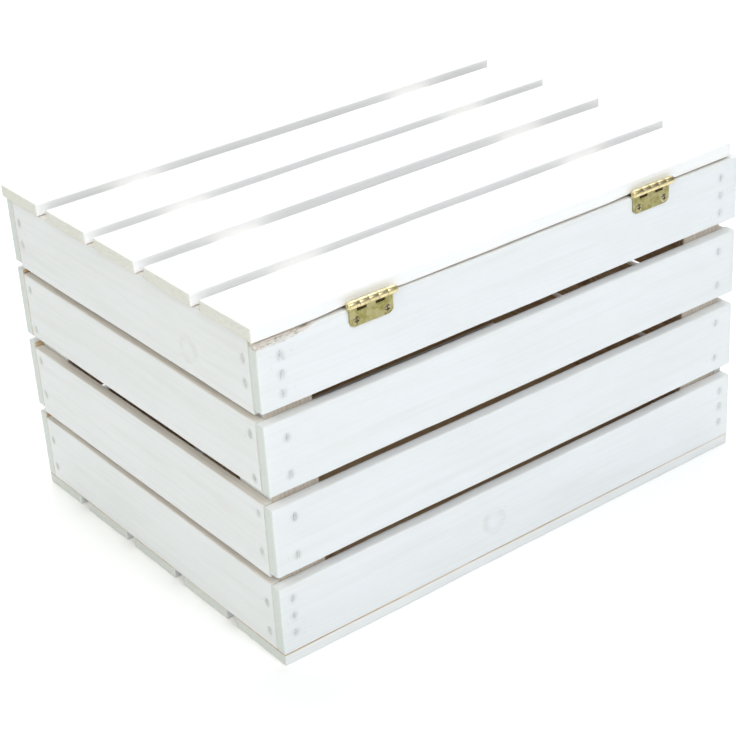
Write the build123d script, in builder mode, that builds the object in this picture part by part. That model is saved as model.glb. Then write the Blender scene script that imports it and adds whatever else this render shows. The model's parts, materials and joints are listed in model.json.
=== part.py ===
"""Storage bench: a slatted timber chest with a slatted lid on two butt hinges.

X runs along the length, the hinges are on the +Y side and the front is the -Y side.
The origin is at the middle of the underside. All sizes are in millimetres.
"""

import math
import os

from build123d import *

os.makedirs("parts", exist_ok=True)

# ---------------------------------------------------------------- driving dimensions

chest_length = 500.0
chest_depth = 375.0
long_board_thick = 10.5
end_board_thick = 8.5
bottom_thick = 10.0
board_ease = 0.6            # chamfer along the long edges of every board

# lower and upper edge of each board, top row first
rear_rows = ((226.0, 283.5), (155.0, 215.0), (82.5, 143.5), (10.0, 71.5))
front_rows = ((226.0, 285.7), (155.0, 219.5), (82.5, 148.5), (10.0, 76.0))
right_end_rows = ((222.5, 285.7), (155.5, 216.0), (78.5, 144.0), (10.0, 72.5))
left_end_rows = ((219.5, 285.7), (150.0, 213.0), (79.5, 143.5), (10.0, 75.0))
chest_top = 285.7           # the posts reach this height

post_leg = 44.0             # corner posts are half of a square bar, cut on the diagonal
post_flat = 3.0             # what is left of each sharp edge of a post

bottom_widths = (56.0, 65.0, 64.0, 65.0, 69.0)      # front to rear
bottom_gaps = (14.0, 14.0, 14.0, 14.0)

lid_bottom = 286.0
lid_thick = 11.0
lid_length = 495.0
lid_overhang = 2.5          # past the chest's right end
lid_setback = 1.5           # in from the rear face
lid_widths = (61.5, 63.0, 61.0, 65.0, 66.0)         # front to rear
lid_gaps = (16.0, 14.0, 15.0, 13.0)

batten_length = 330.0
batten_width = 45.0
batten_thick = 11.0
batten_spacing = 300.0

hinge_spacing = 291.6
hinge_shift = 1.1           # of both hinges, towards the right end
barrel_radius = 3.2
barrel_length = 44.0
knuckle_count = 5
knuckle_gap = 0.3
pin_radius = 1.6
pin_running_gap = 0.05
pin_head_radius = 2.7
pin_head_thick = 1.2
pin_head_round = 1.0
leaf_thick = 1.6
leaf_width = 41.0
leaf_reach = 19.5           # from the pin to the leaf's free edge
leaf_corner = 5.0
root_reach = 5.0            # from the pin to where the leaf narrows
slot_reach = 7.0            # from the pin to the foot of a knuckle slot

screw_spacing = 29.0
screw_reach = 15.0          # from the pin to the screws
screw_head_radius = 3.55
screw_radius = 1.75
screw_length = 12.0
screw_head_clearance = 0.05
screw_head_dome = 0.8       # how far the oval head stands out of the leaf
screw_hole_radius = 2.0
cross_length = 4.4
cross_width = 1.1
cross_depth = 1.8           # from the top of the dome

staple_crown = 6.4
staple_wire = 1.2
staple_long = 25.0          # through a side board into a post
staple_short = 18.0         # through a slat or batten
long_staple_insets = (20.0, 20.0, 20.0, 12.0)       # from the board's end, top row first
end_staple_inset = 18.5     # from the chest's long faces
long_staple_rows = ((269.0, 253.0, 237.0), (200.0, 168.0), (130.5, 96.0), (59.0, 43.0, 27.0))
end_staple_rows = ((266.4, 246.0), (203.0, 164.8), (133.3, 98.8), (51.6, 24.2))
slat_staple_offset = 12.0   # each side of a slat's middle line
rim_staples_x = (-180.0, -60.0, 60.0, 180.0)

# ---------------------------------------------------------------- derived places

lid_depth = sum(lid_widths) + sum(lid_gaps)
front_overhang = lid_depth + lid_setback - chest_depth
chest_x = -lid_overhang / 2
chest_y = (front_overhang - 2 * barrel_radius) / 2
left, right = chest_x - chest_length / 2, chest_x + chest_length / 2
front, rear = chest_y - chest_depth / 2, chest_y + chest_depth / 2
lid_right = right + lid_overhang
lid_middle_x = lid_right - lid_length / 2
pin_y = rear + barrel_radius
pin_z = lid_bottom - leaf_thick + barrel_radius
hinge_middle = chest_x + hinge_shift
hinge_sides = {"left": hinge_middle - hinge_spacing / 2, "right": hinge_middle + hinge_spacing / 2}
dome_radius = (screw_head_radius**2 + screw_head_dome**2) / (2 * screw_head_dome)
dome_rim_angle = math.degrees(math.asin(1 - screw_head_dome / dome_radius))


def save(piece, name):
    """Label a finished piece and write it under its node's name."""
    piece.label = name
    export_step(piece, f"parts/{name}.step")


def spans(start, widths, gaps):
    """The (low, high) span of each slat laid side by side from start."""
    found = []
    edge = start
    for width, gap in zip(widths, list(gaps) + [0.0]):
        found.append((edge, edge + width))
        edge += width + gap
    return found


bottom_spans = spans(front, bottom_widths, bottom_gaps)
lid_spans = spans(rear - lid_setback - lid_depth, lid_widths, lid_gaps)


# ---------------------------------------------------------------- staples

def staple_group(seats, leg_length):
    """Narrow-crown wire staples, one for each (place, crown direction, leg direction).

    The crown's outer face lies flush at the place, and the legs run into the wood.
    """
    with BuildPart() as group:
        for place, crown, leg in seats:
            seat = Plane(origin=place, x_dir=crown, z_dir=leg)
            with BuildSketch(seat):
                Rectangle(staple_crown, staple_wire)
            extrude(amount=staple_wire)
            with BuildSketch(seat.offset(staple_wire)):
                with GridLocations(staple_crown - staple_wire, 0, 2, 1):
                    Rectangle(staple_wire, staple_wire)
            extrude(amount=leg_length - staple_wire)
    return group.part


def long_side_seats(face_y, leg):
    """Staples at both ends of the four boards on one long side."""
    seats = []
    for inset, heights in zip(long_staple_insets, long_staple_rows):
        for x in (left + inset, right - inset):
            seats += [((x, face_y, z), (0, 0, 1), leg) for z in heights]
    return seats


def end_seats(face_x, leg):
    """Staples at both ends of the four boards on one short end."""
    seats = []
    for heights in end_staple_rows:
        for y in (front + end_staple_inset, rear - end_staple_inset):
            seats += [((face_x, y, z), (0, 0, 1), leg) for z in heights]
    return seats


def bottom_seats():
    """Staples up through the bottom slats into the end boards and the long boards."""
    seats = []
    for low, high in bottom_spans:
        middle = (low + high) / 2
        for x in (left + end_board_thick / 2, right - end_board_thick / 2):
            for y in (middle - slat_staple_offset, middle + slat_staple_offset):
                seats.append(((x, y, 0), (0, 1, 0), (0, 0, 1)))
    for y in (front + long_board_thick / 2, rear - long_board_thick / 2):
        for x in rim_staples_x:
            seats.append(((chest_x + x, y, 0), (1, 0, 0), (0, 0, 1)))
    return seats


def lid_seats():
    """Staples up through each batten into every lid slat."""
    seats = []
    for x in (lid_middle_x - batten_spacing / 2, lid_middle_x + batten_spacing / 2):
        for low, high in lid_spans:
            middle = (low + high) / 2
            for y in (middle - slat_staple_offset, middle + slat_staple_offset):
                seats.append(((x, y, lid_bottom - batten_thick), (1, 0, 0), (0, 0, 1)))
    return seats


rear_staples = staple_group(long_side_seats(rear, (0, -1, 0)), staple_long)
front_staples = staple_group(long_side_seats(front, (0, 1, 0)), staple_long)
left_staples = staple_group(end_seats(left, (1, 0, 0)), staple_long)
right_staples = staple_group(end_seats(right, (-1, 0, 0)), staple_long)
bottom_staples = staple_group(bottom_seats(), staple_short)
lid_staples = staple_group(lid_seats(), staple_short)

save(rear_staples, "staples_rear")
save(front_staples, "staples_front")
save(left_staples, "staples_left_end")
save(right_staples, "staples_right_end")
save(bottom_staples, "staples_bottom")
save(lid_staples, "staples_lid")


# ---------------------------------------------------------------- hinges

def leaf_plane(side_x, kind):
    """A leaf's wood face: x along the pin, y away from the pin, z out of the wood."""
    if kind == "box":
        return Plane(origin=(side_x, rear, pin_z), x_dir=(1, 0, 0), z_dir=(0, 1, 0))
    return Plane(origin=(side_x, pin_y, lid_bottom), x_dir=(1, 0, 0), z_dir=(0, 0, -1))


def knuckle_starts(side_x, kind):
    """Where each of a leaf's knuckles begins along the pin: 1, 3 and 5, or 2 and 4."""
    pitch = barrel_length / knuckle_count
    first = 0 if kind == "box" else 1
    start = side_x - barrel_length / 2 + knuckle_gap / 2
    return [start + n * pitch for n in range(first, knuckle_count, 2)]


def hinge_leaf(side_x, kind):
    """One stamped leaf with its rolled knuckles and two countersunk holes."""
    pitch = barrel_length / knuckle_count
    wood_face = leaf_plane(side_x, kind)
    other = "lid" if kind == "box" else "box"
    with BuildPart() as leaf:
        with BuildSketch(wood_face):
            with Locations((0, leaf_reach / 2)):
                Rectangle(leaf_width, leaf_reach)
            free_edge = vertices().group_by(Axis((0, 0, 0), tuple(wood_face.y_dir)))[-1]
            fillet(free_edge, leaf_corner)
            with Locations((0, root_reach / 2)):
                Rectangle(barrel_length - knuckle_gap, root_reach)
            for start in knuckle_starts(side_x, other):
                middle = start - side_x + (pitch - knuckle_gap) / 2
                with Locations((middle, 0)):
                    Rectangle(pitch + knuckle_gap, 2 * slot_reach, mode=Mode.SUBTRACT)
        extrude(amount=leaf_thick)
        for start in knuckle_starts(side_x, kind):
            with BuildSketch(Plane(origin=(start, pin_y, pin_z), z_dir=(1, 0, 0))):
                Circle(barrel_radius)
            extrude(amount=pitch - knuckle_gap)
        with BuildSketch(Plane(origin=(side_x, pin_y, pin_z), z_dir=(1, 0, 0))):
            Circle(pin_radius + pin_running_gap)
        extrude(amount=barrel_length, both=True, mode=Mode.SUBTRACT)
        with Locations(wood_face.offset(leaf_thick)):
            with Locations((-screw_spacing / 2, screw_reach), (screw_spacing / 2, screw_reach)):
                CounterSinkHole(
                    screw_hole_radius,
                    screw_head_radius + screw_head_clearance,
                    depth=leaf_thick,
                    counter_sink_angle=90,
                )
    return leaf.part


def hinge_screws(side_x, kind):
    """The two cross-slot screws of one leaf, countersunk with domed heads."""
    outer_face = leaf_plane(side_x, kind).offset(leaf_thick)
    core_depth = screw_head_radius - screw_radius
    places = [(-screw_spacing / 2, screw_reach), (screw_spacing / 2, screw_reach)]
    with BuildPart() as pair:
        with BuildSketch(outer_face):
            with Locations(*places):
                Circle(screw_head_radius)
        extrude(amount=-core_depth, taper=45)
        with BuildSketch(outer_face.offset(-core_depth)):
            with Locations(*places):
                Circle(screw_radius)
        extrude(amount=-(screw_length - core_depth))
        with Locations(outer_face.offset(screw_head_dome - dome_radius)):
            with Locations(*places):
                Sphere(dome_radius, arc_size1=dome_rim_angle, align=None)
        for place in places:
            with BuildSketch(outer_face.offset(screw_head_dome)):
                with Locations(place):
                    Rectangle(cross_length, cross_width)
                    Rectangle(cross_width, cross_length)
            extrude(amount=-cross_depth, mode=Mode.SUBTRACT)
    return pair.part


def hinge_pin(side_x):
    """The hinge pin with a low button head at each end."""
    with BuildPart() as pin:
        with BuildSketch(Plane(origin=(side_x, pin_y, pin_z), z_dir=(1, 0, 0))):
            Circle(pin_radius)
        extrude(amount=barrel_length / 2, both=True)
        for end in (-1, 1):
            head = Plane(origin=(side_x + end * barrel_length / 2, pin_y, pin_z), z_dir=(end, 0, 0))
            with BuildSketch(head):
                Circle(pin_head_radius)
            extrude(amount=pin_head_thick)
            rim = edges().filter_by(GeomType.CIRCLE).sort_by(Axis((0, 0, 0), (end, 0, 0)))[-1]
            fillet(rim, pin_head_round)
    return pin.part


box_screws = {}
lid_screws = {}
for side, side_x in hinge_sides.items():
    for kind in ("box", "lid"):
        save(hinge_leaf(side_x, kind), f"hinge_{side}_{kind}_leaf")
    box_screws[side] = hinge_screws(side_x, "box")
    lid_screws[side] = hinge_screws(side_x, "lid")
    save(box_screws[side], f"hinge_{side}_box_screws")
    save(lid_screws[side], f"hinge_{side}_lid_screws")
    save(hinge_pin(side_x), f"hinge_{side}_pin")


# ---------------------------------------------------------------- boards

def board(low, high, run, fasteners):
    """A sawn board from corner low to corner high, eased along run, bored for fasteners."""
    size = [b - a for a, b in zip(low, high)]
    middle = [(a + b) / 2 for a, b in zip(low, high)]
    with BuildPart() as made:
        with BuildSketch(Plane.XY.offset(low[2])):
            with Locations((middle[0], middle[1])):
                Rectangle(size[0], size[1])
        extrude(amount=size[2])
        chamfer(edges().filter_by(run), board_ease)
        for fastener in fasteners:
            add(fastener, mode=Mode.SUBTRACT)
    return made.part


long_board_lines = {
    "front": (front, front + long_board_thick, front_rows, [front_staples, bottom_staples]),
    "rear": (
        rear - long_board_thick,
        rear,
        rear_rows,
        [rear_staples, bottom_staples] + list(box_screws.values()),
    ),
}
for side, (low_y, high_y, rows, fasteners) in long_board_lines.items():
    for row, (low_z, high_z) in enumerate(rows, start=1):
        piece = board((left, low_y, low_z), (right, high_y, high_z), Axis.X, fasteners)
        save(piece, f"{side}_board_{row}")

end_board_lines = {
    "left": (left, left + end_board_thick, left_end_rows, [left_staples, bottom_staples]),
    "right": (right - end_board_thick, right, right_end_rows, [right_staples, bottom_staples]),
}
for side, (low_x, high_x, rows, fasteners) in end_board_lines.items():
    for row, (low_z, high_z) in enumerate(rows, start=1):
        low = (low_x, front + long_board_thick, low_z)
        high = (high_x, rear - long_board_thick, high_z)
        save(board(low, high, Axis.Y, fasteners), f"{side}_end_board_{row}")

for number, (low_y, high_y) in enumerate(bottom_spans, start=1):
    piece = board((left, low_y, 0), (right, high_y, bottom_thick), Axis.X, [bottom_staples])
    save(piece, f"bottom_slat_{number}")

for number, (low_y, high_y) in enumerate(lid_spans, start=1):
    fasteners = [lid_staples] + (list(lid_screws.values()) if number == len(lid_spans) else [])
    low = (lid_right - lid_length, low_y, lid_bottom)
    high = (lid_right, high_y, lid_bottom + lid_thick)
    save(board(low, high, Axis.X, fasteners), f"lid_slat_{number}")

batten_middle_y = (lid_spans[0][0] + lid_spans[-1][1]) / 2
for side, offset in (("left", -batten_spacing / 2), ("right", batten_spacing / 2)):
    x = lid_middle_x + offset
    low = (x - batten_width / 2, batten_middle_y - batten_length / 2, lid_bottom - batten_thick)
    high = (x + batten_width / 2, batten_middle_y + batten_length / 2, lid_bottom)
    save(board(low, high, Axis.Y, [lid_staples]), f"lid_batten_{side}")


# ---------------------------------------------------------------- corner posts

def corner_post(corner_x, corner_y, inward_x, inward_y, fasteners):
    """A triangular post in one corner, its sharp edges cut flat."""
    square = (corner_x, corner_y)
    along_x = (corner_x + inward_x * post_leg, corner_y)
    tip_x = (corner_x + inward_x * post_leg, corner_y + inward_y * post_flat)
    tip_y = (corner_x + inward_x * post_flat, corner_y + inward_y * post_leg)
    along_y = (corner_x, corner_y + inward_y * post_leg)
    with BuildPart() as post:
        with BuildSketch(Plane.XY.offset(bottom_thick)):
            with BuildLine():
                Polyline(square, along_x, tip_x, tip_y, along_y, close=True)
            make_face()
        extrude(amount=chest_top - bottom_thick)
        for fastener in fasteners:
            add(fastener, mode=Mode.SUBTRACT)
    return post.part


for y_name, corner_y, inward_y, y_staples in (
    ("front", front + long_board_thick, 1, front_staples),
    ("rear", rear - long_board_thick, -1, rear_staples),
):
    for x_name, corner_x, inward_x, x_staples in (
        ("left", left + end_board_thick, 1, left_staples),
        ("right", right - end_board_thick, -1, right_staples),
    ):
        post = corner_post(corner_x, corner_y, inward_x, inward_y, [y_staples, x_staples])
        save(post, f"corner_post_{y_name}_{x_name}")
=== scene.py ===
"""Storage bench: a white-painted slatted chest with a slatted seat lid on brass hinges.

Every board is sawn, eased, warped, knotted and stapled here round its CAD node. The frame
gives each piece's place and size, in metres.
"""

import json
import math
import random

import bmesh
import bpy
from bpy.props import FloatProperty, FloatVectorProperty, IntProperty, PointerProperty
from mathutils import Matrix, Vector
from mathutils.noise import noise as rough_noise


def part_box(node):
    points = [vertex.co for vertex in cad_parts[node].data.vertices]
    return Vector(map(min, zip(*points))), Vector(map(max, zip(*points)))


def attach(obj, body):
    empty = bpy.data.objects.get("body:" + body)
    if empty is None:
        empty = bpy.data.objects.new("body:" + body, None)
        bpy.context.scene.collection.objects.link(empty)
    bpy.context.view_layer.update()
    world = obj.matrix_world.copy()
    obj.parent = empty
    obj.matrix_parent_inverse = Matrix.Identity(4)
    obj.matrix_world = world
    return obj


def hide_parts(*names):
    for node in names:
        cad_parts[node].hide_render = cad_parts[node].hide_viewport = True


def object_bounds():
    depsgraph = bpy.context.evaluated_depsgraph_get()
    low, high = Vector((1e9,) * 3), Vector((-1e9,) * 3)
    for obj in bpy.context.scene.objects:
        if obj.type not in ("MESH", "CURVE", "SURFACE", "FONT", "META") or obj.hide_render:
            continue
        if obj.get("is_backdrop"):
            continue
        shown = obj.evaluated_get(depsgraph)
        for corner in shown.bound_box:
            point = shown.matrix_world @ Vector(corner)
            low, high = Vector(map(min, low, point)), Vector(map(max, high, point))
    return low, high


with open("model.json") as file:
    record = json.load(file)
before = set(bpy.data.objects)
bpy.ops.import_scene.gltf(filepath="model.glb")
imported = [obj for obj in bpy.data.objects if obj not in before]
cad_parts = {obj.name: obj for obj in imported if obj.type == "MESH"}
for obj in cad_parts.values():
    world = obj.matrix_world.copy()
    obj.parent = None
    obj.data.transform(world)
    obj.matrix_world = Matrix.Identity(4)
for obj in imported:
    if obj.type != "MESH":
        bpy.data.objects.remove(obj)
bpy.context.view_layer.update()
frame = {"nodes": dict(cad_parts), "record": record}

bl_info = {
    "name": "Storage Bench",
    "version": (1, 0, 0),
    "blender": (4, 5, 0),
    "location": "3D View > Sidebar > Bench",
    "description": "Builds the timber, hinges and staples of a slatted storage bench",
    "category": "Object",
}

MERGE_DISTANCE = 1e-6       # CAD vertices closer than this are one
BODIES = frame["record"]["behaviour"]["bodies"]
BODY_OF = {node: body for body, members in BODIES.items() for node in members}
X, Y, Z = 0, 1, 2


def nodes_named(start):
    """The CAD nodes whose names begin with start, in order."""
    return sorted(node for node in BODY_OF if node.startswith(start))


# ---------------------------------------------------------------- shader building

class Wire:
    """A socket of a shader, on which Python's arithmetic adds Math nodes."""

    def __init__(self, tree, socket=None):
        self.tree = tree
        self.socket = socket

    def node(self, kind, settings=None, inputs=()):
        """Add a node, set its settings, then feed its sockets; returns its outputs as wires."""
        node = self.tree.nodes.new(kind)
        for name, value in (settings or {}).items():
            setattr(node, name, value)
        pairs = inputs.items() if isinstance(inputs, dict) else enumerate(inputs)
        for key, value in pairs:
            if isinstance(value, Wire):
                self.tree.links.new(value.socket, node.inputs[key])
            elif value is not None:
                node.inputs[key].default_value = value
        return [Wire(self.tree, output) for output in node.outputs]

    def math(self, operation, *values):
        return self.node("ShaderNodeMath", {"operation": operation}, values)[0]

    def __add__(self, other):
        return self.math("ADD", self, other)

    def __sub__(self, other):
        return self.math("SUBTRACT", self, other)

    def __rsub__(self, other):
        return self.math("SUBTRACT", other, self)

    def __mul__(self, other):
        return self.math("MULTIPLY", self, other)

    def __truediv__(self, other):
        return self.math("DIVIDE", self, other)

    def __rtruediv__(self, other):
        return self.math("DIVIDE", other, self)

    def __pow__(self, other):
        return self.math("POWER", self, other)

    def __rpow__(self, other):
        return self.math("POWER", other, self)

    __radd__ = __add__
    __rmul__ = __mul__

    def clamp(self):
        return self.math("MINIMUM", self.math("MAXIMUM", self, 0.0), 1.0)

    def ramp(self, low, high):
        """0 below low, 1 above high and smooth between, the other way round if low > high."""
        settings = {"interpolation_type": "SMOOTHSTEP"}
        if low > high:
            return 1.0 - self.ramp(high, low)
        return self.node("ShaderNodeMapRange", settings, (self, low, high))[0]


def new_material(name):
    """Start an empty node material; returns a wire to add its nodes with.

    The frame brings plain materials of its own, so a name that it holds already is refused.
    """
    if name in bpy.data.materials:
        raise ValueError(f"a material named {name} is there already")
    material = bpy.data.materials.new(name)
    material.use_nodes = True
    material.node_tree.nodes.clear()
    return Wire(material.node_tree)


def attribute(start, name):
    """A piece's own named attribute: its colour or vector, and its factor."""
    outputs = start.node("ShaderNodeAttribute", {"attribute_name": name})
    return outputs[1], outputs[2]


def object_place(start):
    """The place on the piece, in metres."""
    return start.node("ShaderNodeTexCoord")[3]


def stretched(start, vector, scale):
    """A vector scaled along each axis, for a pattern longer one way than another."""
    return start.node("ShaderNodeMapping", None, {"Vector": vector, "Scale": scale})[0]


def noise(start, vector, scale, detail=2.0, roughness=0.5, distortion=0.0):
    """Plain noise between 0 and 1."""
    inputs = {
        "Vector": vector, "Scale": scale, "Detail": detail,
        "Roughness": roughness, "Distortion": distortion,
    }
    return start.node("ShaderNodeTexNoise", None, inputs)[0]


def mix_colour(start, factor, first, second):
    """Blend two colours."""
    inputs = {0: factor, 6: first, 7: second}       # a Mix node's factor and colour sockets
    return start.node("ShaderNodeMix", {"data_type": "RGBA"}, inputs)[2]


def bump(start, height, distance):
    """A bumped normal from a height between 0 and 1, worth distance in metres."""
    inputs = {"Height": height, "Strength": 1.0, "Distance": distance}
    return start.node("ShaderNodeBump", None, inputs)[0]


def close_material(start, inputs):
    """Finish a material with one Principled shader, its sockets fed by name."""
    shader = start.node("ShaderNodeBsdfPrincipled", None, inputs)[0]
    start.node("ShaderNodeOutputMaterial", None, {"Surface": shader})


def opaque(colour, scale=(1.0, 1.0, 1.0)):
    """A colour with each channel scaled, and nothing showing through it."""
    return (*[channel * factor for channel, factor in zip(colour, scale)], 1.0)


def wood_figure(start):
    """Growth rings, fibres and streaks of a softwood board, from its own grain attribute.

    The attribute counts along the board, across it and into it from the tree's heart.
    """
    grain = attribute(start, "grain")[0]
    knot = attribute(start, "knot")[1]
    along, across, depth = start.node("ShaderNodeSeparateXYZ", None, (grain,))
    wander = noise(start, stretched(start, grain, (3.0, 12.0, 12.0)), 1.0, 2.0)
    uneven = noise(start, stretched(start, grain, (0.5, 95.0, 95.0)), 1.0, 1.0)
    radius = (across * across + depth * depth) ** 0.5 + wander * 0.016 + knot * 0.008
    rings = radius / 0.0036 + uneven * 2.2
    phase = rings.math("FRACT", rings)
    latewood = phase.ramp(0.35, 0.92) * phase.ramp(1.0, 0.94) * (0.35 + uneven * 1.1)
    fibre = noise(start, stretched(start, grain, (38.0, 900.0, 900.0)), 1.0, 3.0, 0.6)
    streak = noise(start, stretched(start, grain, (6.0, 110.0, 110.0)), 1.0, 3.0, 0.55, 0.4)
    return grain, knot, latewood, fibre, streak


def bare_wood(start, timber, knot, latewood, fibre, streak):
    """Colour of the unpainted wood."""
    raw = mix_colour(start, latewood.clamp(), opaque(timber), opaque(timber, (0.70, 0.60, 0.50)))
    streaky = (streak.ramp(0.4, 0.8) * 0.4 + fibre * 0.2).clamp()
    raw = mix_colour(start, streaky, raw, opaque(timber, (0.8, 0.8, 0.8)))
    return mix_colour(start, (knot.ramp(0.45, 0.9) * 0.8).clamp(), raw, (0.21, 0.10, 0.045, 1.0))


def painted_timber(name, paint, timber, spread):
    """Thin white paint brushed on sawn softwood, rubbed at the edges and thin on the ends."""
    start = new_material(name)
    grain, knot, latewood, fibre, streak = wood_figure(start)
    bare = attribute(start, "bare")[1]
    edge = attribute(start, "edge")[1]
    mark = attribute(start, "mark")[1]
    torn = attribute(start, "torn")[1]
    end = attribute(start, "end")[1]
    cloud = noise(start, stretched(start, grain, (9.0, 16.0, 16.0)), 1.0, 3.0, 0.6)
    patch = noise(start, stretched(start, grain, (60.0, 220.0, 220.0)), 1.0, 4.0, 0.65)
    brush = noise(start, stretched(start, grain, (11.0, 420.0, 420.0)), 1.0, 2.0, 0.5)

    worn = (edge + patch * 1.4 - 1.35).ramp(0.0, 0.6) * spread
    bent = knot + (cloud - 0.5) * 0.5 + (patch - 0.5) * 0.25
    ring = bent.ramp(0.20, 0.42) * bent.ramp(0.80, 0.46) * patch.ramp(0.3, 0.65)
    through = bare * (0.75 + patch * 0.5) + worn + ring * 0.06
    thin = (latewood * 0.03 + (fibre - 0.5) * 0.07 + (streak - 0.5) * 0.09 + (brush - 0.5) * 0.05).clamp()
    cover = (1.0 - through - thin).clamp()

    raw = bare_wood(start, timber, knot, latewood, fibre, streak)
    # Painted shade: behind the hinge leaves, where mark and bare are both high, the bare wood is darkened
    # to near-black brown for the barrel's shadow seen through the leaf's slots.
    slot_shade = (mark * bare).ramp(0.15, 0.8) * 0.85
    raw = mix_colour(start, slot_shade.clamp(), raw, (0.060, 0.038, 0.020, 1.0))
    shade = (cloud.ramp(0.35, 0.7) * 0.5 + streak.ramp(0.45, 0.75) * 0.5).clamp()
    coat = mix_colour(start, shade, opaque(paint), opaque(paint, (0.955, 0.96, 0.95)))
    soaked = opaque(paint, (0.83, 0.88, 0.85))      # end grain drinks the paint
    coat = mix_colour(start, end * (0.65 + patch * 0.5), coat, soaked)
    smudge = (mark * (0.26 + patch * 0.42) + ring * 0.16).clamp()
    coat = mix_colour(start, smudge, coat, (0.40, 0.44, 0.44, 1.0))
    colour = mix_colour(start, cover, raw, coat)
    speck = torn.ramp(0.1, 0.45) * fibre.ramp(0.50, 0.64) * patch.ramp(0.44, 0.58)
    colour = mix_colour(start, (speck * 0.85).clamp(), colour, (0.16, 0.15, 0.10, 1.0))

    relief = (latewood * 0.3 + fibre * 0.35 + brush * 0.2 + patch * 0.15).clamp()
    normal = bump(start, relief, 0.00020)
    roughness = (0.80 - cover * 0.24 + (cloud - 0.5) * 0.12).clamp()
    close_material(start, {
        "Base Color": colour, "Roughness": roughness, "Normal": normal, "Specular IOR Level": 0.35,
    })


def stamped_brass(name, tint):
    """Stamped brass with a soft tarnish and fine rubbing marks; the rolled barrel gets a lighter colour
    as a painted highlight.
    """
    start = new_material(name)
    place = object_place(start)
    tarnish = noise(start, place, 190.0, 4.0, 0.6)
    rubbed = noise(start, stretched(start, place, (240.0, 2400.0, 2400.0)), 1.0, 2.0)
    dull = opaque(tint, (0.60, 0.62, 0.30))
    colour = mix_colour(start, tarnish.ramp(0.38, 0.66) * 0.8, opaque(tint), dull)
    rolled = attribute(start, "rolled")[1]
    # Painted highlight: the barrel and pin take a colour about twice the brass tint, for the broad bright
    # reflection along the barrel.
    painted_sheen = opaque(tint, (2.05, 1.95, 2.2))
    colour = mix_colour(start, rolled * (1.0 - tarnish.ramp(0.45, 0.75) * 0.35), colour, painted_sheen)
    roughness = (0.27 + tarnish.ramp(0.35, 0.8) * 0.15 + rubbed * 0.05 + rolled * 0.07).clamp()
    normal = bump(start, (tarnish * 0.6 + rubbed * 0.4).clamp(), 0.00005)
    close_material(start, {
        "Base Color": colour, "Roughness": roughness, "Normal": normal, "Metallic": 1.0,
    })


def staple_wire(name):
    """Galvanised wire, partly painted over."""
    start = new_material(name)
    place = object_place(start)
    blotch = noise(start, place, 700.0, 3.0, 0.6)
    painted = blotch.ramp(0.45, 0.6)
    coated = (0.45 + painted * 0.5).clamp()
    colour = mix_colour(start, coated, (0.30, 0.31, 0.32, 1.0), (0.72, 0.75, 0.78, 1.0))
    roughness = (0.42 + painted * 0.25).clamp()
    normal = bump(start, blotch, 0.00006)
    close_material(start, {
        "Base Color": colour, "Roughness": roughness, "Normal": normal, "Metallic": 0.35,
    })


def pale_floor(name, tone, glow):
    """A matt pale floor that gives off a little light."""
    start = new_material(name)
    mottle = noise(start, object_place(start), 1.5, 2.0)
    colour = mix_colour(start, mottle, opaque([tone] * 3), opaque([0.985 * tone] * 3))
    close_material(start, {
        "Base Color": colour, "Roughness": 0.9, "Specular IOR Level": 0.1,
        "Emission Color": (1.0, 1.0, 1.0, 1.0), "Emission Strength": glow,
    })


# ---------------------------------------------------------------- hand tools

def leave_nothing_selected():
    """Object mode with nothing selected or active."""
    if bpy.context.object and bpy.context.object.mode != "OBJECT":
        bpy.ops.object.mode_set(mode="OBJECT")
    bpy.ops.object.select_all(action="DESELECT")
    bpy.context.view_layer.objects.active = None


def work_on(piece):
    """Make a piece the only selected and the active one."""
    leave_nothing_selected()
    piece.select_set(True)
    bpy.context.view_layer.objects.active = piece


def block(name, low, high):
    """A box between two corners, with its object at the origin."""
    leave_nothing_selected()
    low, high = Vector(low), Vector(high)
    bpy.ops.mesh.primitive_cube_add(size=1.0, location=(low + high) / 2, scale=high - low)
    piece = bpy.context.object
    piece.name = name
    piece.data.name = name
    bpy.ops.object.transform_apply(location=True, rotation=True, scale=True)
    return piece


def choose(piece, kind, test):
    """In edit mode, select exactly the vertices, edges or faces that pass a test."""
    bpy.ops.mesh.select_mode(type={"verts": "VERT", "edges": "EDGE", "faces": "FACE"}[kind])
    bpy.ops.mesh.select_all(action="DESELECT")
    shape = bmesh.from_edit_mesh(piece.data)
    for item in getattr(shape, kind):
        if test(item):
            item.select_set(True)
    shape.select_flush_mode()
    bmesh.update_edit_mesh(piece.data)


def cut_along(piece, axis, length, cuts):
    """Cut the long edges that run along an axis, so that loops go round the piece."""
    def runs_along(edge):
        step = edge.verts[1].co - edge.verts[0].co
        return abs(step[axis]) > 0.6 * length

    if cuts > 0:
        choose(piece, "edges", runs_along)
        bpy.ops.mesh.subdivide(number_cuts=cuts)


def finish_modifier(piece, kind, **settings):
    """Add one modifier and apply it at once."""
    modifier = piece.modifiers.new(kind.title(), kind)
    for name, value in settings.items():
        setattr(modifier, name, value)
    work_on(piece)
    bpy.ops.object.modifier_apply(modifier=modifier.name)


def ripple(piece, direction, size, strength, place, stretch=(1, 1, 1)):
    """Push a piece's surface along an axis by smooth noise of a given size."""
    texture = bpy.data.textures.new("ripple", "CLOUDS")
    texture.noise_scale = 1.0
    texture.noise_depth = 1
    anchor = bpy.data.objects.new("ripple", None)
    anchor.location = place
    anchor.scale = [size * factor for factor in stretch]
    bpy.context.scene.collection.objects.link(anchor)
    bpy.context.view_layer.update()
    finish_modifier(
        piece, "DISPLACE", texture=texture, direction=direction, strength=strength,
        mid_level=0.5, texture_coords="OBJECT", texture_coords_object=anchor,
    )
    bpy.data.objects.remove(anchor)
    bpy.data.textures.remove(texture)


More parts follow.
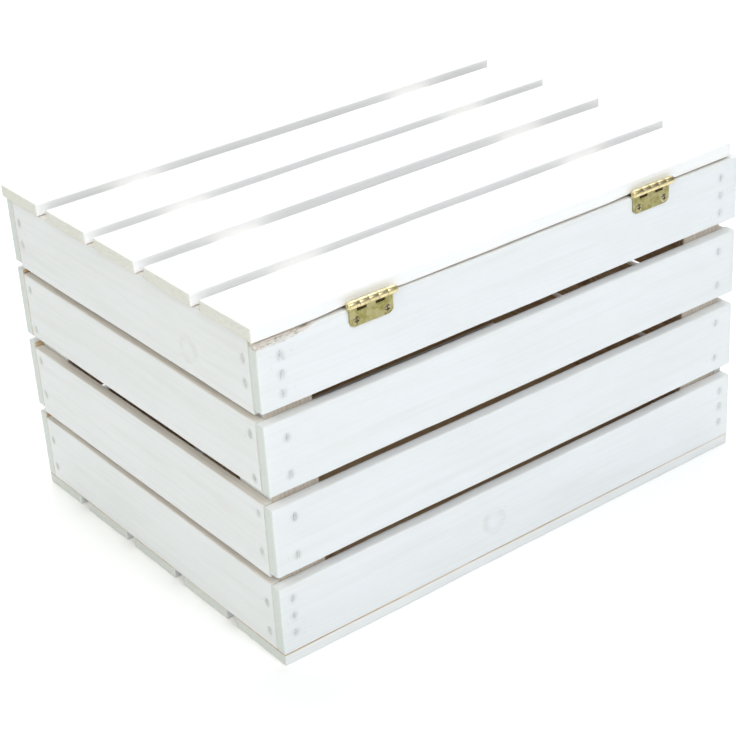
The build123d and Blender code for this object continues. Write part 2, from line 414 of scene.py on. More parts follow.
def smooth_faces(piece, degrees=32):
    """Shade a piece smooth, apart from edges sharper than an angle."""
    work_on(piece)
    bpy.ops.object.shade_smooth_by_angle(angle=math.radians(degrees))


def hand_over(piece, node, material):
    """Give a finished piece its material, and let it stand for its CAD node."""
    piece.data.materials.clear()
    piece.data.materials.append(bpy.data.materials[material])
    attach(piece, BODY_OF[node])
    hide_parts(node)


# ---------------------------------------------------------------- boards

BOW_LENGTH = 0.22           # sizes of the waves that a board bows, wanders and ripples in
WANDER_LENGTH = 0.09
RIPPLE_LENGTH = 0.011
SAWN_LENGTHWAYS = 9.0       # how many times longer the saw's ripples are along the board

DENT_HALF_WIDTH = 0.0019    # the dent round a staple, along the board and across it
DENT_HALF_LENGTH = 0.0044
DENT_REACH = 0.0095         # how far round a staple the mesh is made finer
MARK_RADIUS = 0.0050        # how far a staple's stain spreads
WORN_WIDTH = 0.0035         # how far from an edge the paint is rubbed

TORN_WIDTH = 0.0030         # the torn strip where it starts, and what it gains by the end
TORN_GAIN = 0.0036
TORN_BARENESS = 0.34        # how much wood shows through where the edge is torn

# Behind a leaf the bare wood is also painted dark, as the barrel's shade.
LEAF_DEPTH = 0.003          # behind a leaf, how deep the bare wood is marked
LEAF_MARGIN = 0.004         # how far inside a leaf's outline the bare wood begins
ROLLED_REACH = 0.0034       # from a hinge pin's axis to just outside its barrel


def smooth_step(value):
    """0 below 0, 1 above 1 and smooth between."""
    value = min(1.0, max(0.0, value))
    return value * value * (3.0 - 2.0 * value)


def squarely(turned):
    """1 where a surface faces one way squarely, 0 where it is turned well away from it."""
    return smooth_step(2.0 * turned - 0.6)


class Board:
    """The lie of one sawn board: which way it runs, and which face is its painted one."""

    def __init__(self, node, run, face, outward, seed):
        self.node = node
        self.low, self.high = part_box(node)
        self.size = self.high - self.low
        self.run, self.face, self.outward = run, face, outward
        self.across = 3 - run - face
        self.rng = random.Random(seed)
        self.heart_across = self.rng.uniform(-0.6, 0.6) * self.size[self.across]
        self.heart_depth = self.rng.uniform(0.012, 0.060)
        self.start = self.rng.uniform(0.0, 40.0)
        self.knots = []
        self.wane = 0.0
        self.leaves = []

    def depth_in(self, place):
        """How far a point lies below the painted face."""
        if self.outward > 0:
            return self.high[self.face] - place[self.face]
        return place[self.face] - self.low[self.face]

    def surface_point(self, along, across):
        """A point on the painted face, from fractions of the board's length and width."""
        place = Vector((0.0, 0.0, 0.0))
        place[self.run] = self.low[self.run] + along * self.size[self.run]
        place[self.across] = self.low[self.across] + across * self.size[self.across]
        place[self.face] = self.high[self.face] if self.outward > 0 else self.low[self.face]
        return place

    def scatter_knots(self, most):
        """Choose up to a few knots, clear of the board's ends."""
        for _ in range(self.rng.randint(0, most)):
            place = self.surface_point(self.rng.uniform(0.12, 0.88), self.rng.uniform(0.2, 0.8))
            self.knots.append((place, self.rng.uniform(0.006, 0.011)))

    def knot_nearness(self, place):
        """1 at a knot's middle, fading to 0 at twice its radius."""
        near = 0.0
        for middle, radius in self.knots:
            offset = place - middle
            offset[self.face] *= 0.3
            near = max(near, 1.0 - offset.length / (2.0 * radius))
        return near

    def torn_at(self, place):
        """1 where the upper outer edge is torn off, ragged and narrowing away from the end."""
        if not self.wane:
            return 0.0
        along = (place[self.run] - self.high[self.run] + self.wane) / self.wane
        if along <= 0.0:
            return 0.0
        ragged = 1.0 + 0.30 * rough_noise(place * 210.0) + 0.15 * rough_noise(place * 620.0)
        reach = (TORN_WIDTH + TORN_GAIN * along) * ragged * min(1.0, 6.0 * along)
        away = math.hypot(self.high[self.across] - place[self.across], 0.4 * self.depth_in(place))
        return min(1.0, max(0.0, 2.6 * (1.0 - away / max(reach, 1e-6))))

    def behind_hinge(self, place):
        """1 on the painted face where a hinge leaf keeps the paint off the wood, and where the bare wood
        gets painted shade for the barrel's shadow.
        """
        if self.depth_in(place) > LEAF_DEPTH:
            return 0.0
        inside = [
            min(place[self.run] - low[X], high[X] - place[self.run], place[Z] - low[Z])
            for low, high in self.leaves
        ]
        return max((smooth_step(reach / LEAF_MARGIN - 0.5) for reach in inside), default=0.0)


def write_attribute(piece, name, values):
    """Store one value, or one vector, for each vertex of a piece."""
    as_vectors = isinstance(values[0], Vector)
    layer = piece.data.attributes.new(name, "FLOAT_VECTOR" if as_vectors else "FLOAT", "POINT")
    if as_vectors:
        layer.data.foreach_set("vector", [number for value in values for number in value])
    else:
        layer.data.foreach_set("value", values)


def lay_finish(piece, board, bareness, marks=()):
    """Write the attributes that the timber materials read.

    Bareness gives how thin the paint is on the ends, the narrow edges and the hidden face.
    """
    on_ends, on_edges, on_back = bareness
    found = {name: [] for name in ("grain", "knot", "edge", "bare", "mark", "torn", "end")}
    length, width = board.size[board.run], board.size[board.across]
    thickness = board.size[board.face]
    for vertex in piece.data.vertices:
        place = vertex.co
        along = place[board.run] - board.low[board.run]
        across = place[board.across] - board.low[board.across]
        depth = board.depth_in(place)
        found["grain"].append(Vector((
            along + board.start,
            across - width / 2 + board.heart_across,
            depth + board.heart_depth,
        )))
        found["knot"].append(board.knot_nearness(place))
        to_side = max(0.0, min(across, width - across))
        to_face = max(0.0, min(depth, thickness - depth))
        to_end = max(0.0, min(along, length - along))
        arris = min(
            math.hypot(to_side, to_face), math.hypot(to_end, to_face), math.hypot(to_end, to_side),
        )
        found["edge"].append(max(0.0, 1.0 - arris / WORN_WIDTH))
        facing = vertex.normal
        at_back = squarely(-facing[board.face] * board.outward)
        at_end = squarely(abs(facing[board.run]))
        at_side = squarely(abs(facing[board.across]))
        torn = board.torn_at(place)
        hidden = board.behind_hinge(place)
        found["torn"].append(torn)
        found["end"].append(at_end)
        found["bare"].append(max(
            on_back * at_back, on_ends * at_end, on_edges * at_side, TORN_BARENESS * torn, hidden,
        ))
        nearest = min(((place - mark).length for mark in marks), default=1.0)
        # Behind a hinge leaf the mark is full, so the material paints the bare wood there near black as
        # shade.
        found["mark"].append(max(0.0, 1.0 - nearest / MARK_RADIUS, hidden))
    for name, values in found.items():
        write_attribute(piece, name, values)


def refine_near(piece, middles, reach, cuts):
    """Divide the faces round some places more finely."""
    work_on(piece)
    bpy.ops.object.mode_set(mode="EDIT")
    for middle in middles:
        choose(piece, "faces", lambda f: (f.calc_center_median() - middle).length < reach)
        bpy.ops.mesh.subdivide(number_cuts=cuts)
    bpy.ops.object.mode_set(mode="OBJECT")


def press_knots(piece, board):
    """Refine the face round each knot and raise it a little, with a dimple in the middle."""
    for middle, radius in board.knots:
        work_on(piece)
        bpy.ops.object.mode_set(mode="EDIT")
        choose(piece, "faces", lambda f: (f.calc_center_median() - middle).length < 1.7 * radius)
        bpy.ops.mesh.subdivide(number_cuts=2)
        nearest = min(piece_points(piece), key=lambda co: (co - middle).length)
        for reach, height in ((1.5 * radius, 0.00035), (0.55 * radius, -0.00045)):
            choose(piece, "verts", lambda v: (v.co - nearest).length < 1e-6)
            push = Vector((0.0, 0.0, 0.0))
            push[board.face] = height * board.outward
            bpy.ops.transform.translate(
                value=push, use_proportional_edit=True,
                proportional_edit_falloff="SMOOTH", proportional_size=reach,
            )
            nearest = min(piece_points(piece), key=lambda co: (co - middle).length)
        bpy.ops.object.mode_set(mode="OBJECT")


def piece_points(piece):
    """The places of a piece's vertices, in edit mode."""
    return [vertex.co.copy() for vertex in bmesh.from_edit_mesh(piece.data).verts]


def dent_tool(places, radii):
    """One object of flattened balls, for pressing dents into a board."""
    leave_nothing_selected()
    balls = []
    for place in places:
        bpy.ops.mesh.primitive_uv_sphere_add(
            segments=12, ring_count=8, radius=1.0, location=place, scale=radii,
        )
        balls.append(bpy.context.object)
    for ball in balls:
        ball.select_set(True)
    if len(balls) > 1:
        bpy.ops.object.join()
    tool = bpy.context.object
    bpy.ops.object.transform_apply(location=True, rotation=True, scale=True)
    return tool


def press_dents(piece, board, places):
    """Press a small dent at each staple."""
    if not places:
        return
    timber = bpy.context.scene.bench_timber
    radii = [0.0, 0.0, 0.0]
    radii[board.face] = timber.dent_depth
    radii[board.run] = DENT_HALF_WIDTH
    radii[board.across] = DENT_HALF_LENGTH
    tool = dent_tool(places, radii)
    finish_modifier(piece, "BOOLEAN", operation="DIFFERENCE", solver="EXACT", object=tool)
    bpy.data.objects.remove(tool)


def sawn_board(board, name, staples=()):
    """Saw one board: eased, cut into loops, bowed, knotted and dented at its staples."""
    timber = bpy.context.scene.bench_timber
    piece = block(name, board.low, board.high)
    length, width = board.size[board.run], board.size[board.across]
    thickness = board.size[board.face]
    step = timber.mesh_step
    bpy.ops.object.mode_set(mode="EDIT")
    bpy.ops.mesh.select_all(action="SELECT")
    bpy.ops.mesh.bevel(offset=timber.edge_round, segments=3, affect="EDGES")
    cut_along(piece, board.run, length, round(length / step) - 1)
    cut_along(piece, board.across, width, round(width / step) - 1)
    cut_along(piece, board.face, thickness, 2)
    bpy.ops.object.mode_set(mode="OBJECT")
    refine_near(piece, staples, DENT_REACH, 2)
    press_knots(piece, board)

    letters = "XYZ"
    place = [board.rng.uniform(5.0, 60.0) for _ in range(3)]
    ripple(piece, letters[board.face], BOW_LENGTH, timber.bow, place)
    ripple(piece, letters[board.across], WANDER_LENGTH, timber.edge_wander, place)
    stretch = [1.0, 1.0, 1.0]
    stretch[board.run] = SAWN_LENGTHWAYS
    ripple(piece, "NORMAL", RIPPLE_LENGTH, timber.saw_ripple, place, stretch)
    press_dents(piece, board, staples)
    smooth_faces(piece)
    return piece


def staple_boxes(node):
    """The box round each staple of a CAD node, its solids told apart by their edges."""
    found = []
    shape = bmesh.new()
    shape.from_mesh(frame["nodes"][node].data)
    bmesh.ops.remove_doubles(shape, verts=shape.verts, dist=MERGE_DISTANCE)
    left = set(shape.verts)
    while left:
        group, stack = set(), [left.pop()]
        while stack:
            vertex = stack.pop()
            group.add(vertex)
            for linked in vertex.link_edges:
                other = linked.other_vert(vertex)
                if other in left:
                    left.discard(other)
                    stack.append(other)
        low = Vector([min(v.co[a] for v in group) for a in range(3)])
        high = Vector([max(v.co[a] for v in group) for a in range(3)])
        found.append((low, high))
    shape.free()
    return found


def crown_axis(low, high, leg):
    """The axis that a staple's crown runs along, from its box and the axis of its legs."""
    return max((axis for axis in range(3) if axis != leg), key=lambda axis: (high - low)[axis])


def crown_point(low, high, leg, sign):
    """The middle of a staple's crown: its box's centre moved to the face it starts from."""
    place = (low + high) / 2
    place[leg] = high[leg] if sign > 0 else low[leg]
    return place


def crowns_on(board, boxes):
    """The crowns, of the staples in some boxes, that lie on a board's painted face."""
    chosen = []
    for low, high in boxes:
        place = crown_point(low, high, board.face, board.outward)
        inside = all(
            board.low[axis] - 0.001 < place[axis] < board.high[axis] + 0.001 for axis in range(3)
        )
        if inside:
            chosen.append(place)
    return chosen


# ---------------------------------------------------------------- settings

class TimberSettings(bpy.types.PropertyGroup):
    """Sizes of the sawing and weathering of the boards."""

    mesh_step: FloatProperty(
        name="Mesh Step", description="Distance between loops on a board",
        default=0.005, min=0.002, unit="LENGTH",
    )
    edge_round: FloatProperty(
        name="Edge Round", description="Width of the rounding on a board's edges",
        default=0.0011, min=0.0001, unit="LENGTH",
    )
    bow: FloatProperty(
        name="Bow", description="How far a board bows out of flat",
        default=0.0011, unit="LENGTH",
    )
    edge_wander: FloatProperty(
        name="Edge Wander", description="How far a sawn edge wanders from straight",
        default=0.0012, unit="LENGTH",
    )
    saw_ripple: FloatProperty(
        name="Saw Ripple", description="Height of the ripples that the saw left",
        default=0.0003, unit="LENGTH",
    )
    dent_depth: FloatProperty(
        name="Dent Depth", description="Depth of the dent round each staple",
        default=0.0006, unit="LENGTH",
    )
    wane_length: FloatProperty(
        name="Wane Length", description="Length of the torn edge on the rear's top board",
        default=0.056, unit="LENGTH",
    )
    wane_size: FloatProperty(
        name="Wane Size", description="Depth of the torn edge at the board's end",
        default=0.0034, unit="LENGTH",
    )
    lid_sag: FloatProperty(
        name="Lid Sag", description="How far the rear slat's lower edge curls down off its hinges",
        default=0.0013, unit="LENGTH",
    )
    knots: IntProperty(
        name="Knots", description="The most knots on one board", default=2, min=0,
    )
    seed: IntProperty(name="Seed", description="Starts the choice of knots and bows", default=7)


class FinishSettings(bpy.types.PropertyGroup):
    """Colours of the paint, timber and brass."""

    # Painted light and shade: boards and lid are one white paint, but the boards' colour is set darker
    # and bluer than the lid's, so the upright sides read darker than the top.
    board_paint: FloatVectorProperty(
        name="Board Paint", description="Paint on the chest's boards",
        default=(0.80, 0.825, 0.84), subtype="COLOR",
    )
    lid_paint: FloatVectorProperty(
        name="Lid Paint", description="Paint on the lid",
        default=(0.93, 0.935, 0.94), subtype="COLOR",
    )
    timber: FloatVectorProperty(
        name="Timber", description="Bare softwood", default=(0.62, 0.44, 0.25), subtype="COLOR",
    )
    brass: FloatVectorProperty(
        name="Brass", description="Hinge brass", default=(0.43, 0.39, 0.20), subtype="COLOR",
    )
    screw_brass: FloatVectorProperty(
        name="Screw Brass", description="Paler brass of the screws",
        default=(0.52, 0.46, 0.30), subtype="COLOR",
    )
    wear: FloatProperty(
        name="Wear", description="How far the paint is rubbed off at the edges",
        default=0.07, min=0.0, max=1.0, subtype="FACTOR",
    )


class StageSettings(bpy.types.PropertyGroup):
    """The floor, the lights and the camera."""

    azimuth: FloatProperty(
        name="Azimuth", description="Camera's place round the bench, from the front",
        default=math.radians(143.98), subtype="ANGLE",
    )
    elevation: FloatProperty(
        name="Elevation", description="Camera's height above the horizon",
        default=math.radians(28.26), subtype="ANGLE",
    )
    roll: FloatProperty(
        name="Roll", description="Camera's tilt to one side",
        default=math.radians(-3.695), subtype="ANGLE",
    )
    distance: FloatProperty(
        name="Distance", description="From the camera to the point it looks at",
        default=1.6361, unit="LENGTH",
    )
    aim: FloatVectorProperty(
        name="Aim", description="Point looked at, from the middle of the bench",
        default=(0.0227, 0.0080, -0.0369), subtype="TRANSLATION",
    )
    view_angle: FloatProperty(
        name="View Angle", description="Camera's field of view",
        default=math.radians(22.533), subtype="ANGLE",
    )
    floor_size: FloatProperty(
        name="Floor Size", description="Width of the floor", default=14.0, unit="LENGTH",
    )
    floor_gap: FloatProperty(
        name="Floor Gap", description="How far below the bench the floor lies",
        default=0.0002, unit="LENGTH",
    )
    floor_tone: FloatProperty(
        name="Floor Tone", description="Lightness of the floor", default=0.95, subtype="FACTOR",
    )
    floor_glow: FloatProperty(
        name="Floor Glow", description="Light that the floor gives off itself", default=0.08,
    )
    ambient: FloatProperty(
        name="Ambient", description="Strength of the light from all round", default=0.10,
    )
    back_light: FloatProperty(
        name="Back Light", description="Power of the light over the floor behind the bench",
        default=72.0, unit="POWER",
    )
    rear_light: FloatProperty(
        name="Rear Light", description="Power of the light towards the hinge side",
        default=84.0, unit="POWER",
    )
    end_light: FloatProperty(
        name="End Light", description="Power of the light towards the right end",
        default=59.4, unit="POWER",
    )


# ---------------------------------------------------------------- operators

class BENCH_OT_stage(bpy.types.Operator):
    """Lay the floor, hang the soft lights and stand the camera"""

    bl_idname = "bench.stage"
    bl_label = "Stage"

    def execute(self, context):
        stage = context.scene.bench_stage
        low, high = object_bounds()
        middle = (Vector(low) + Vector(high)) / 2
        leave_nothing_selected()
        under_bench = (0.0, 0.0, low[Z] - stage.floor_gap)
        bpy.ops.mesh.primitive_plane_add(size=stage.floor_size, location=under_bench)
        floor = context.object
        floor.name = "floor"
        pale_floor("pale_floor", stage.floor_tone, stage.floor_glow)
        floor.data.materials.append(bpy.data.materials["pale_floor"])
        floor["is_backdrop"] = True

        world = bpy.data.worlds.new("studio")
        world.use_nodes = True
        world.node_tree.nodes["Background"].inputs["Strength"].default_value = stage.ambient
        world.node_tree.nodes["Background"].inputs["Color"].default_value = (1.0, 1.0, 1.0, 1.0)
        context.scene.world = world

        behind = Vector((-1.0, -1.4, 0.0))
        white, cool, warm = (1.0, 1.0, 1.0), (0.907, 0.945, 0.981), (1.0, 0.997, 0.91)
        self.soft_light("back_light", behind, (0.0, 0.0, 2.4), 2.6, stage.back_light, white)
        self.soft_light("rear_light", middle, (0.35, 2.7, 2.5), 2.0, stage.rear_light, cool)
        self.soft_light("end_light", middle, (2.7, 0.6, 2.5), 2.0, stage.end_light, warm)
        self.stand_camera(context, stage, middle)
        context.scene.view_settings.view_transform = "Standard"
        return {"FINISHED"}

    def soft_light(self, name, target, offset, size, power, tint):
        """A square soft box, offset from the point that it faces."""
        lamp = bpy.data.lights.new(name, "AREA")
        lamp.size = size
        lamp.energy = power
        lamp.color = tint
        holder = bpy.data.objects.new(name, lamp)
        holder.location = target + Vector(offset)
        holder.rotation_euler = Vector(offset).to_track_quat("Z", "Y").to_euler()
        bpy.context.scene.collection.objects.link(holder)

    def stand_camera(self, context, stage, middle):
        """Camera on a sphere round its aim, rolled a little."""
        back = Vector((
            math.sin(stage.azimuth) * math.cos(stage.elevation),
            -math.cos(stage.azimuth) * math.cos(stage.elevation),
            math.sin(stage.elevation),
        ))
        level = Vector((0.0, 0.0, 1.0)).cross(back).normalized()
        upright = back.cross(level)
        right = math.cos(stage.roll) * level + math.sin(stage.roll) * upright
        axes = Matrix((right, back.cross(right), back)).transposed()
        lens = bpy.data.cameras.new("camera")
        lens.angle = stage.view_angle
        lens.clip_end = 50.0
        camera = bpy.data.objects.new("camera", lens)
        place = middle + Vector(stage.aim) + stage.distance * back
        camera.matrix_world = Matrix.Translation(place) @ axes.to_4x4()
        context.scene.collection.objects.link(camera)
        context.scene.camera = camera


def leaf_boxes(side):
    """The outlines of both hinges' leaves on one side, box or lid."""
    return [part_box(f"hinge_{hinge}_{side}_leaf") for hinge in ("left", "right")]


def hang_between_hinges(piece, board):
    """Curl the rear slat's lower edge down on the chest everywhere but at its hinges."""
    drop = bpy.context.scene.bench_timber.lid_sag
    left_run, right_run = 0.012, 0.028      # how gradually it drops on either side of a leaf
    curled, faded = 0.0085, 0.006           # the width that curls at the rear, and its fade
    leaves = leaf_boxes("lid")
    group = piece.vertex_groups.new(name="hanging")
    for vertex in piece.data.vertices:
        place = vertex.co
        clear = min(
            max((low[X] - place[X]) / left_run, (place[X] - high[X]) / right_run)
            for low, high in leaves
        )
        below = board.depth_in(place) / board.size[board.face]
        at_rear = (place[Y] - board.high[Y] + curled) / faded
        weight = smooth_step(clear) * smooth_step(below) * smooth_step(at_rear)
        group.add([vertex.index], weight, "REPLACE")
    finish_modifier(
        piece, "DISPLACE", direction="Z", strength=-drop, mid_level=0.0, vertex_group=group.name,
    )
    piece.vertex_groups.clear()


def wear_wane(piece, board, length, size):
    """Tear the upper outer edge of a board near its right end, deepest at the end."""
    steps = 22
    strip_width, strip_depth = 0.007, 0.005     # what is meshed finer round the edge
    edge_reach, bite_reach = 0.0016, 0.0045     # how near the edge is pushed, and how far it pulls
    work_on(piece)
    bpy.ops.object.mode_set(mode="EDIT")

    def on_arris(place):
        return (
            place[board.run] > board.high[board.run] - length
            and place[board.across] > board.high[board.across] - strip_width
            and board.depth_in(place) < strip_depth
        )

    choose(piece, "faces", lambda f: on_arris(f.calc_center_median()))
    bpy.ops.mesh.subdivide(number_cuts=3)
    for step in range(steps):
        start = board.high[board.run] - length * (1.0 - step / steps)
        choose(piece, "verts", lambda v: (
            start < v.co[board.run] <= start + length / steps
            and v.co[board.across] > board.high[board.across] - edge_reach
            and board.depth_in(v.co) < edge_reach
        ))
        bite = size * (0.15 + 0.85 * step / steps) * board.rng.uniform(0.45, 1.35)
        push = Vector((0.0, 0.0, 0.0))
        push[board.across] = -bite
        push[board.face] = -0.6 * bite * board.outward
        bpy.ops.transform.translate(
            value=push, use_proportional_edit=True,
            proportional_edit_falloff="SHARP", proportional_size=bite_reach,
        )
    bpy.ops.object.mode_set(mode="OBJECT")


def make_boards(start, lie, material, bareness, staples=None, knots=None):
    """Saw the boards whose names begin with start; they all run, face and look out one way.

    Knots gives each knotted board's, as fractions along and across and a radius, in place of
    random ones.
    """
    timber = bpy.context.scene.bench_timber
    boxes = staple_boxes(staples) if staples else []
    for node in nodes_named(start):
        seed = timber.seed + sum(ord(letter) * (place + 3) for place, letter in enumerate(node))
        board = Board(node, *lie, seed)
        if knots is None:
            board.scatter_knots(timber.knots)
        elif node in knots:
            along, across, radius = knots[node]
            board.knots.append((board.surface_point(along, across), radius))
        places = crowns_on(board, boxes)
        piece = sawn_board(board, node + "_timber", places)
        if node == "rear_board_1":
            board.leaves = leaf_boxes("box")
            board.wane = timber.wane_length
            wear_wane(piece, board, timber.wane_length, timber.wane_size)
        lay_finish(piece, board, bareness, places)
        if node == "lid_slat_5":
            hang_between_hinges(piece, board)
        hand_over(piece, node, material)


# How bare the ends, the narrow edges and the hidden face of each kind of timber are.
LONG_BARENESS = (0.05, 0.06, 0.9)
END_BARENESS = (0.14, 0.30, 0.9)
BOTTOM_BARENESS = (0.12, 0.06, 0.9)
LID_BARENESS = (0.20, 0.01, 0.8)
BATTEN_BARENESS = (0.4, 0.1, 0.3)
POST_BARENESS = (0.6, 0.52, 0.85)


class BENCH_OT_long_boards(bpy.types.Operator):
    """Saw the long boards of the front and the rear"""

    bl_idname = "bench.long_boards"
    bl_label = "Long Boards"

    def execute(self, context):
        knots = {"rear_board_4": (0.566, 0.47, 0.0085)}
        rear, front = (X, Y, 1), (X, Y, -1)
        make_boards("rear_board", rear, "board_paint", LONG_BARENESS, "staples_rear", knots)
        make_boards("front_board", front, "board_paint", LONG_BARENESS, "staples_front")
        return {"FINISHED"}


class BENCH_OT_end_boards(bpy.types.Operator):
    """Saw the short boards of both ends"""

    bl_idname = "bench.end_boards"
    bl_label = "End Boards"

    def execute(self, context):
        knots = {"right_end_board_1": (0.76, 0.34, 0.0095)}
        right, left = (Y, X, 1), (Y, X, -1)
        make_boards("right_end_board", right, "board_paint", END_BARENESS, "staples_right_end", knots)
        make_boards("left_end_board", left, "board_paint", END_BARENESS, "staples_left_end")
        return {"FINISHED"}


class BENCH_OT_bottom_slats(bpy.types.Operator):
    """Saw the slats of the bottom"""

    bl_idname = "bench.bottom_slats"
    bl_label = "Bottom Slats"

    def execute(self, context):
        below = (X, Z, -1)
        make_boards("bottom_slat", below, "board_paint", BOTTOM_BARENESS, "staples_bottom")
        return {"FINISHED"}


class BENCH_OT_lid(bpy.types.Operator):
    """Saw the lid's slats and the battens that hold them"""

    bl_idname = "bench.lid"
    bl_label = "Lid"

    def execute(self, context):
        above, below = (X, Z, 1), (Y, Z, -1)
        make_boards("lid_slat", above, "lid_paint", LID_BARENESS, knots={})
        make_boards("lid_batten", below, "lid_paint", BATTEN_BARENESS, "staples_lid")
        return {"FINISHED"}


class BENCH_OT_corner_posts(bpy.types.Operator):
    """Cut the triangular posts that stand in the corners"""

    bl_idname = "bench.corner_posts"
    bl_label = "Corner Posts"

    def execute(self, context):
        low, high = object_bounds()
        middle = (Vector(low) + Vector(high)) / 2
        for number, node in enumerate(nodes_named("corner_post")):
            self.cut_post(node, middle, number)
        return {"FINISHED"}

    def cut_post(self, node, middle, number):
        """A square bar split a little past its diagonal, eased and roughened."""
        timber = bpy.context.scene.bench_timber
        low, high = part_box(node)
        centre = (low + high) / 2
        inward = Vector([1.0 if centre[axis] < middle[axis] else -1.0 for axis in (X, Y)] + [0.0])
        past_diagonal = 0.034 * (high[X] - low[X])
        piece = block(node + "_timber", low, high)
        bpy.ops.object.mode_set(mode="EDIT")
        bpy.ops.mesh.select_all(action="SELECT")
        bpy.ops.mesh.bisect(
            plane_co=centre + inward * past_diagonal, plane_no=inward, use_fill=True, clear_outer=True,
        )
        bpy.ops.mesh.select_all(action="SELECT")
        bpy.ops.mesh.bevel(offset=timber.edge_round, segments=2, affect="EDGES")
        cut_along(piece, Z, high[Z] - low[Z], round((high[Z] - low[Z]) / timber.mesh_step) - 1)
        bpy.ops.object.mode_set(mode="OBJECT")
        ripple(piece, "NORMAL", 0.03, timber.saw_ripple, (3.0 + number, 2.0, 1.0), (1, 1, 6))
        smooth_faces(piece)
        board = Board(node, Z, X, -inward[X], timber.seed + number)
        board.scatter_knots(timber.knots)
        lay_finish(piece, board, POST_BARENESS)
        hand_over(piece, node, "post_paint")


class BENCH_OT_hinges(bpy.types.Operator):
    """Stamp the brass hinges and their screws, with rounded edges"""

    bl_idname = "bench.hinges"
    bl_label = "Hinges"

    def execute(self, context):
        turned, stamped = 0.00012, 0.00022      # the rounding of turned edges and stamped ones
        for node in nodes_named("hinge"):
            self.dress(node, turned if node.endswith(("pin", "screws")) else stamped)
        return {"FINISHED"}

    def dress(self, node, width):
        """A merged copy of the CAD piece whose sharp edges are rounded over."""
        source = frame["nodes"][node]
        piece = bpy.data.objects.new(node + "_brass", source.data.copy())
        bpy.context.scene.collection.objects.link(piece)
        work_on(piece)
        bpy.ops.object.mode_set(mode="EDIT")
        bpy.ops.mesh.select_all(action="SELECT")
        bpy.ops.mesh.remove_doubles(threshold=MERGE_DISTANCE)
        bpy.ops.mesh.dissolve_limited(angle_limit=math.radians(1.0))
        bpy.ops.object.mode_set(mode="OBJECT")
        finish_modifier(
            piece, "BEVEL", width=width, segments=2, limit_method="ANGLE",
            angle_limit=math.radians(38.0), use_clamp_overlap=True,
        )
        smooth_faces(piece, 30)
        self.mark_rolled(piece, node)
        hand_over(piece, node, "screw_finish" if node.endswith("screws") else "leaf_finish")

    def mark_rolled(self, piece, node):
        """Mark the faces of the barrel and pin, which the brass finish paints lighter as a painted
        highlight.
        """
        side = "left" if node.startswith("hinge_left") else "right"
        low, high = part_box(f"hinge_{side}_pin")
        axis = (low + high) / 2
        layer = piece.data.attributes.new("rolled", "FLOAT", "FACE")
        layer.data.foreach_set("value", [
            float(math.hypot(face.center[Y] - axis[Y], face.center[Z] - axis[Z]) < ROLLED_REACH)
            for face in piece.data.polygons
        ])


class BENCH_OT_staples(bpy.types.Operator):
    """Drive the wire staples"""

    bl_idname = "bench.staples"
    bl_label = "Staples"

    def execute(self, context):
        sides = {
            "staples_rear": (Y, 1), "staples_front": (Y, -1), "staples_right_end": (X, 1),
            "staples_left_end": (X, -1), "staples_bottom": (Z, -1), "staples_lid": (Z, -1),
        }
        rng = random.Random(context.scene.bench_timber.seed)
        for node, (leg, sign) in sides.items():
            self.drive(node, leg, sign, rng)
        return {"FINISHED"}

    def bent_wire(self, name, low, high, leg, sign):
        """One staple bent from square wire: a crown between two legs, its edges rounded."""
        size = high - low
        crown = crown_axis(low, high, leg)
        wire = min(size)
        bar_low, bar_high = low.copy(), high.copy()
        if sign > 0:
            bar_low[leg] = high[leg] - wire
        else:
            bar_high[leg] = low[leg] + wire
        bar_low[crown] += wire
        bar_high[crown] -= wire
        piece = block(name, bar_low, bar_high)
        bpy.ops.object.mode_set(mode="EDIT")
        inward = Vector((0.0, 0.0, 0.0))
        inward[leg] = -sign
        for side in (-1.0, 1.0):
            outer = Vector((0.0, 0.0, 0.0))
            outer[crown] = side
            choose(piece, "faces", lambda f: f.normal.dot(outer) > 0.9)
            bpy.ops.mesh.extrude_region_move(TRANSFORM_OT_translate={"value": outer * wire})
            leg_at = (bar_low[crown] - wire / 2) if side < 0 else (bar_high[crown] + wire / 2)
            choose(piece, "faces", lambda f: (
                f.normal.dot(inward) > 0.9
                and abs(f.calc_center_median()[crown] - leg_at) < wire / 4
            ))
            bpy.ops.mesh.extrude_region_move(TRANSFORM_OT_translate={"value": inward * 0.4 * size[leg]})
        bpy.ops.mesh.select_all(action="SELECT")
        bpy.ops.mesh.normals_make_consistent(inside=False)
        bpy.ops.object.mode_set(mode="OBJECT")
        finish_modifier(
            piece, "BEVEL", width=0.3 * wire, segments=2, limit_method="ANGLE", use_clamp_overlap=True,
        )
        return piece

    def drive(self, node, leg, sign, rng):
        """Copy a bent staple to each place, a little sunk and a little askew."""
        seats = staple_boxes(node)
        pattern = self.bent_wire(node + "_wire", *seats[0], leg, sign)
        to_origin = Matrix.Translation(-crown_point(*seats[0], leg, sign))
        copies = []
        for low, high in seats:
            copy = bpy.data.objects.new("staple", pattern.data.copy())
            bpy.context.scene.collection.objects.link(copy)
            middle = crown_point(low, high, leg, sign)
            turn = rng.gauss(0.0, math.radians(5.0))
            if crown_axis(low, high, leg) != crown_axis(*seats[0], leg):
                turn += math.pi / 2
            sunk = Vector((0.0, 0.0, 0.0))
            sunk[leg] = -sign * rng.uniform(0.0001, 0.0004)
            spin = Matrix.Rotation(turn, 4, "XYZ"[leg])
            copy.data.transform(Matrix.Translation(middle + sunk) @ spin @ to_origin)
            copies.append(copy)
        bpy.data.objects.remove(pattern)
        work_on(copies[0])
        for copy in copies:
            copy.select_set(True)
        bpy.ops.object.join()
        piece = bpy.context.object
        piece.name = node + "_wire"
        smooth_faces(piece, 50)
        hand_over(piece, node, "staple_wire")


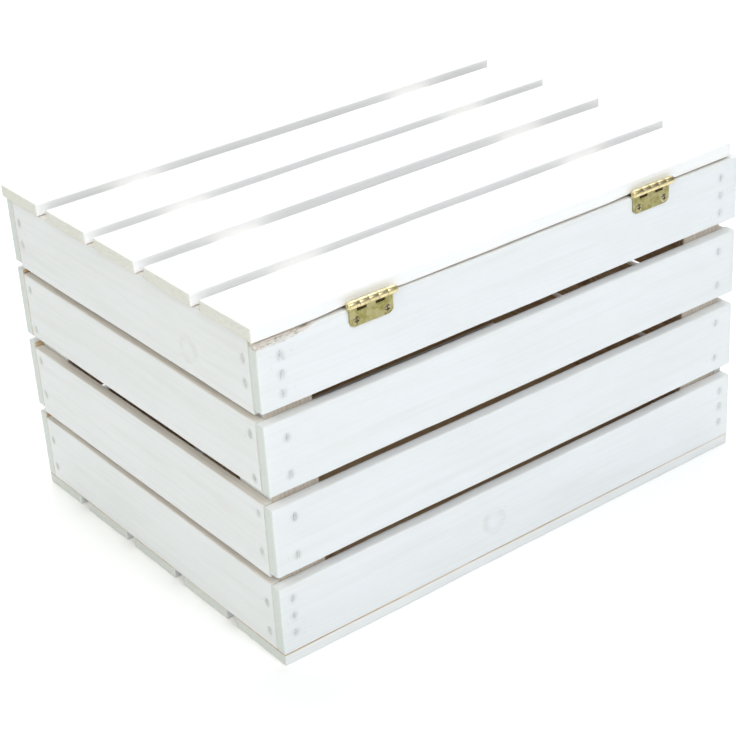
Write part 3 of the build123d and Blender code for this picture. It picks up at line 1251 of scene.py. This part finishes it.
class BENCH_OT_finishes(bpy.types.Operator):
    """Mix the paint, timber, brass and wire finishes"""

    bl_idname = "bench.finishes"
    bl_label = "Finishes"

    def execute(self, context):
        finish = context.scene.bench_finish
        painted_timber("board_paint", finish.board_paint, finish.timber, finish.wear)
        painted_timber("lid_paint", finish.lid_paint, finish.timber, finish.wear)
        painted_timber("post_paint", finish.board_paint, finish.timber, finish.wear)
        stamped_brass("leaf_finish", finish.brass)
        stamped_brass("screw_finish", finish.screw_brass)
        staple_wire("staple_wire")
        return {"FINISHED"}


class BENCH_PT_panel(bpy.types.Panel):
    """Storage bench"""

    bl_idname = "BENCH_PT_panel"
    bl_label = "Storage Bench"
    bl_space_type = "VIEW_3D"
    bl_region_type = "UI"
    bl_category = "Bench"

    def draw(self, context):
        layout = self.layout
        for operator in STEPS:
            layout.operator(operator.bl_idname)
        for group in (context.scene.bench_timber, context.scene.bench_finish, context.scene.bench_stage):
            box = layout.box()
            for name in type(group).__annotations__:
                box.prop(group, name)


STEPS = (
    BENCH_OT_stage,
    BENCH_OT_finishes,
    BENCH_OT_long_boards,
    BENCH_OT_end_boards,
    BENCH_OT_bottom_slats,
    BENCH_OT_lid,
    BENCH_OT_corner_posts,
    BENCH_OT_hinges,
    BENCH_OT_staples,
)
GROUPS = {
    "bench_timber": TimberSettings,
    "bench_finish": FinishSettings,
    "bench_stage": StageSettings,
}


def register():
    for group in GROUPS.values():
        bpy.utils.register_class(group)
    for name, group in GROUPS.items():
        setattr(bpy.types.Scene, name, PointerProperty(type=group))
    for operator in STEPS:
        bpy.utils.register_class(operator)
    bpy.utils.register_class(BENCH_PT_panel)


def unregister():
    bpy.utils.unregister_class(BENCH_PT_panel)
    for operator in reversed(STEPS):
        bpy.utils.unregister_class(operator)
    for name in GROUPS:
        delattr(bpy.types.Scene, name)
    for group in reversed(list(GROUPS.values())):
        bpy.utils.unregister_class(group)


def main():
    """Build everything in order."""
    register()
    bpy.ops.bench.stage()
    bpy.ops.bench.finishes()
    bpy.ops.bench.long_boards()
    bpy.ops.bench.end_boards()
    bpy.ops.bench.bottom_slats()
    bpy.ops.bench.lid()
    bpy.ops.bench.corner_posts()
    bpy.ops.bench.hinges()
    bpy.ops.bench.staples()


if __name__ == "__main__":
    main()
